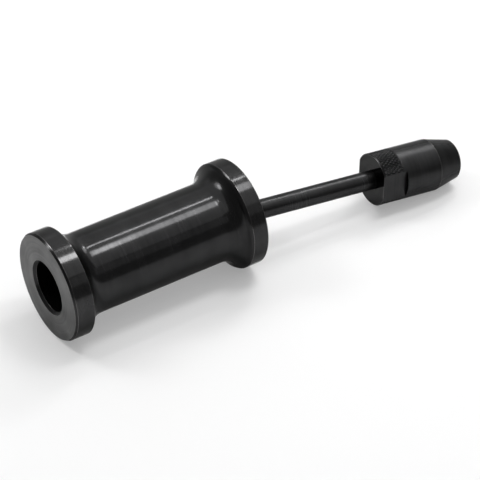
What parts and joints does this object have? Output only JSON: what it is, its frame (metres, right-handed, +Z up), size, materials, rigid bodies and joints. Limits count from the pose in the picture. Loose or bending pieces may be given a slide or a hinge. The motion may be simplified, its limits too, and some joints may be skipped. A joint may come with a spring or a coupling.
{
  "type": "slide hammer puller",
  "caption": "Slide hammer puller: a spool-shaped steel weight slides along a thin rod whose far end carries a chuck that grips the pin to be pulled.",
  "frame": {"origin": "on the table, under the middle of the whole tool as it lies", "axes": "+X along the weight's axis from its open mouth towards the chuck, +Z up, +Y away from the side that the rod leans to"},
  "size_m": [0.2358, 0.055, 0.055],
  "materials": {
    "black_steel": "turned steel with an oiled black oxide finish, satin",
    "ground_steel": "hardened and ground steel, oiled",
    "spring_steel": "spring steel, bright with an oil film"
  },
  "bodies": {
    "weight": {"weight": "black_steel"},
    "seat": {"seat_ring": "ground_steel"},
    "ball": {"ball_washer": "ground_steel"},
    "rod": {"rod": "black_steel", "stop_nut": "black_steel", "spring_pin": "spring_steel", "retaining_ring": "spring_steel"},
    "jaw_carrier": {"thrust_disc": "ground_steel", "jaw_spring_1": "spring_steel", "jaw_spring_2": "spring_steel", "jaw_spring_3": "spring_steel"},
    "chuck": {"chuck_body": "black_steel", "nose_cap": "black_steel"},
    "jaw_1": {"jaw_1": "ground_steel"},
    "jaw_2": {"jaw_2": "ground_steel"},
    "jaw_3": {"jaw_3": "ground_steel"}
  },
  "joints": [
    {"name": "weight_slide", "type": "slide", "parent": "weight", "child": "seat", "axis": [1, 0, 0], "range_m": [-0.073, 0]},
    {"name": "rod_tilt", "type": "hinge", "parent": "seat", "child": "ball", "pos_m": [-0.02872, 0, 0.0275], "axis": [0, 0.8966, -0.4428], "range_deg": [-8.25, 0]},
    {"name": "rod_spin", "type": "hinge", "parent": "ball", "child": "rod", "pos_m": [-0.02872, 0, 0.0275], "axis": [0.9931, -0.052, -0.1054], "continuous": true},
    {"name": "chuck_turn", "type": "hinge", "parent": "rod", "child": "jaw_carrier", "pos_m": [0.10237, -0.00687, 0.01359], "axis": [0.9931, -0.052, -0.1054], "range_deg": [-1080.5, 0]},
    {"name": "chuck_travel", "type": "slide", "parent": "jaw_carrier", "child": "chuck", "axis": [0.9931, -0.052, -0.1054], "range_m": [-0.0045, 0]},
    {"name": "jaw_close_1", "type": "slide", "parent": "jaw_carrier", "child": "jaw_1", "axis": [-0.1108, -0.1162, -0.987], "range_m": [-0.00121, 0], "stiffness_N_per_m": 300, "springref_m": 0.001, "deforming": ["jaw_spring_1"]},
    {"name": "jaw_close_2", "type": "slide", "parent": "jaw_carrier", "child": "jaw_2", "axis": [0.0893, 0.9171, 0.3886], "range_m": [-0.00121, 0], "stiffness_N_per_m": 300, "springref_m": 0.001, "deforming": ["jaw_spring_2"]},
    {"name": "jaw_close_3", "type": "slide", "parent": "jaw_carrier", "child": "jaw_3", "axis": [0.0215, -0.8009, 0.5985], "range_m": [-0.00121, 0], "stiffness_N_per_m": 300, "springref_m": 0.001, "deforming": ["jaw_spring_3"]}
  ],
  "couplings": [
    {"joint": "rod_tilt", "follows": "weight_slide", "rad_per_m": 1.9724},
    {"joint": "chuck_turn", "follows": "chuck_travel", "rad_per_m": 4188.8},
    {"joint": "jaw_close_1", "follows": "chuck_travel", "ratio": 0.26795},
    {"joint": "jaw_close_2", "follows": "chuck_travel", "ratio": 0.26795},
    {"joint": "jaw_close_3", "follows": "chuck_travel", "ratio": 0.26795}
  ]
}
